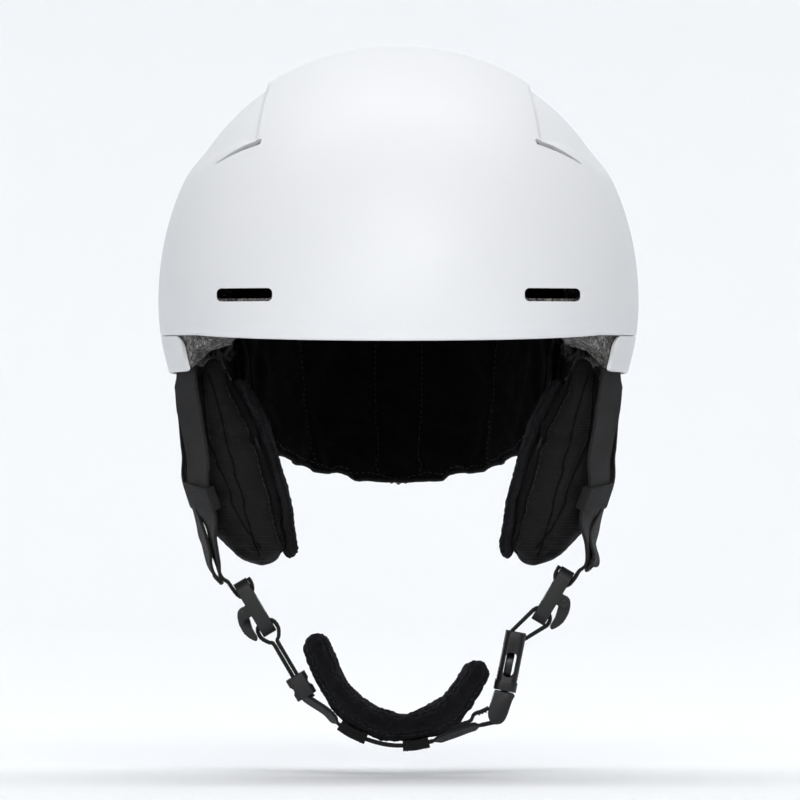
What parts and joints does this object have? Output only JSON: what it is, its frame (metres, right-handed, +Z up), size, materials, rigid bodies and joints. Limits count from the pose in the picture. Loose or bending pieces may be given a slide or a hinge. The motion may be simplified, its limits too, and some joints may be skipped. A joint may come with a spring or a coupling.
{
  "type": "ski helmet",
  "caption": "Matte white ski helmet with a foam core, padded lining, soft ear pads, a head-size dial, webbing harness, side-release buckle and padded chin strap.",
  "frame": {"origin": "middle of the head opening in plan, level with the lowest point of the brow edge", "axes": "+Z up out of the crown, -Y out of the front, +X to the wearer's left"},
  "size_m": [0.2216, 0.2827, 0.3251],
  "materials": {
    "shell_white": "matte white moulded shell",
    "foam": "dark grey speckled bead foam",
    "liner_cloth": "black brushed lining cloth",
    "plush": "black short-pile plush",
    "woven": "black fine woven cloth",
    "hook": "black hook tape",
    "webbing": "black herringbone webbing",
    "nylon": "black moulded nylon",
    "hardware_black": "black semi-gloss acetal",
    "steel": "plain steel pins and studs"
  },
  "bodies": {
    "helmet": {"outer_shell": "shell_white", "lower_shell": "shell_white", "foam_core": "foam", "crown_liner": "liner_cloth", "brow_pad": "liner_cloth", "temple_pad_left": "liner_cloth", "temple_pad_right": "liner_cloth", "liner_hook_patches": "hook", "rear_vent_screens": "nylon", "headband_pins": "nylon", "strap_anchor_plugs": "nylon", "front_strap_left": "webbing", "front_strap_right": "webbing", "rear_strap_left": "webbing", "rear_strap_right": "webbing", "ear_pad_hangers": "nylon", "ear_pad_studs": "steel", "strap_keeper_left": "woven", "strap_keeper_right": "woven", "divider_body_left": "hardware_black", "divider_body_right": "hardware_black", "divider_pins": "steel", "lower_strap_left": "webbing", "lower_strap_right": "webbing", "buckle_housing": "hardware_black", "goggle_clip_base": "hardware_black", "goggle_clip_pin": "steel", "goggle_clip_rivets": "steel"},
    "headband": {"headband_left": "nylon", "headband_right": "nylon"},
    "cradle": {"fit_cradle": "nylon", "fit_cover": "nylon", "nape_pad": "plush"},
    "dial": {"fit_dial": "hardware_black", "dial_pinion": "nylon", "dial_screw": "steel"},
    "ear_pad_left": {"ear_pad_cover_left": "woven", "ear_pad_plush_left": "plush", "ear_pad_frame_left": "nylon"},
    "ear_pad_right": {"ear_pad_cover_right": "woven", "ear_pad_plush_right": "plush", "ear_pad_frame_right": "nylon"},
    "lever_left": {"divider_lever_left": "hardware_black"},
    "lever_right": {"divider_lever_right": "hardware_black"},
    "chin": {"chin_strap": "webbing", "chin_pad": "plush", "chin_sleeves": "woven", "chin_strap_tail": "webbing", "buckle_tongue": "hardware_black"},
    "slider": {"strap_slider": "hardware_black"},
    "prong_front": {"buckle_prong_front": "hardware_black"},
    "prong_rear": {"buckle_prong_rear": "hardware_black"},
    "clip_flap": {"goggle_clip_flap": "hardware_black"}
  },
  "joints": [
    {"name": "headband_tilt", "type": "hinge", "parent": "helmet", "child": "headband", "pos_m": [0, -0.02289, 0.0088], "axis": [-1, 0, 0], "range_deg": [0, 4.5]},
    {"name": "fit_slide", "type": "slide", "parent": "headband", "child": "cradle", "axis": [0, -1, 0], "range_m": [0, 0.008]},
    {"name": "dial_turn", "type": "hinge", "parent": "cradle", "child": "dial", "pos_m": [0, 0.10003, -0.052], "axis": [0, 0.9288, -0.3706], "range_deg": [0, 150]},
    {"name": "ear_pad_left_fold", "type": "hinge", "parent": "helmet", "child": "ear_pad_left", "pos_m": [-0.084, 0, -0.013], "axis": [0, -1, 0], "range_deg": [0, 18]},
    {"name": "ear_pad_right_fold", "type": "hinge", "parent": "helmet", "child": "ear_pad_right", "pos_m": [0.084, 0, -0.013], "axis": [0, 1, 0], "range_deg": [0, 18]},
    {"name": "divider_lever_left_open", "type": "hinge", "parent": "helmet", "child": "lever_left", "pos_m": [-0.07108, -0.02, -0.12516], "axis": [0, 1, 0], "range_deg": [0, 80]},
    {"name": "divider_lever_right_open", "type": "hinge", "parent": "helmet", "child": "lever_right", "pos_m": [0.07608, -0.02, -0.11976], "axis": [0, -1, 0], "range_deg": [0, 80]},
    {"name": "chin_strap_swing", "type": "hinge", "parent": "helmet", "child": "chin", "pos_m": [-0.05605, -0.02, -0.13963], "axis": [0, 1, 0], "range_deg": [0, 68]},
    {"name": "strap_slider_slide", "type": "slide", "parent": "chin", "child": "slider", "axis": [-0.5075, 0, 0.8616], "range_m": [0, 0.01]},
    {"name": "buckle_prong_front_press", "type": "hinge", "parent": "chin", "child": "prong_front", "pos_m": [0.0487, -0.0272, -0.16158], "axis": [0.9806, 0, -0.1959], "range_deg": [0, 7]},
    {"name": "buckle_prong_rear_press", "type": "hinge", "parent": "chin", "child": "prong_rear", "pos_m": [0.0487, -0.0128, -0.16158], "axis": [0.9806, 0, -0.1959], "range_deg": [-7, 0]},
    {"name": "goggle_clip_open", "type": "hinge", "parent": "helmet", "child": "clip_flap", "pos_m": [0, 0.14419, 0.021], "axis": [1, 0, 0], "range_deg": [0, 110]}
  ],
  "couplings": [
    {"joint": "dial_turn", "follows": "fit_slide", "rad_per_m": 326.92},
    {"joint": "buckle_prong_rear_press", "follows": "buckle_prong_front_press", "ratio": -1}
  ]
}
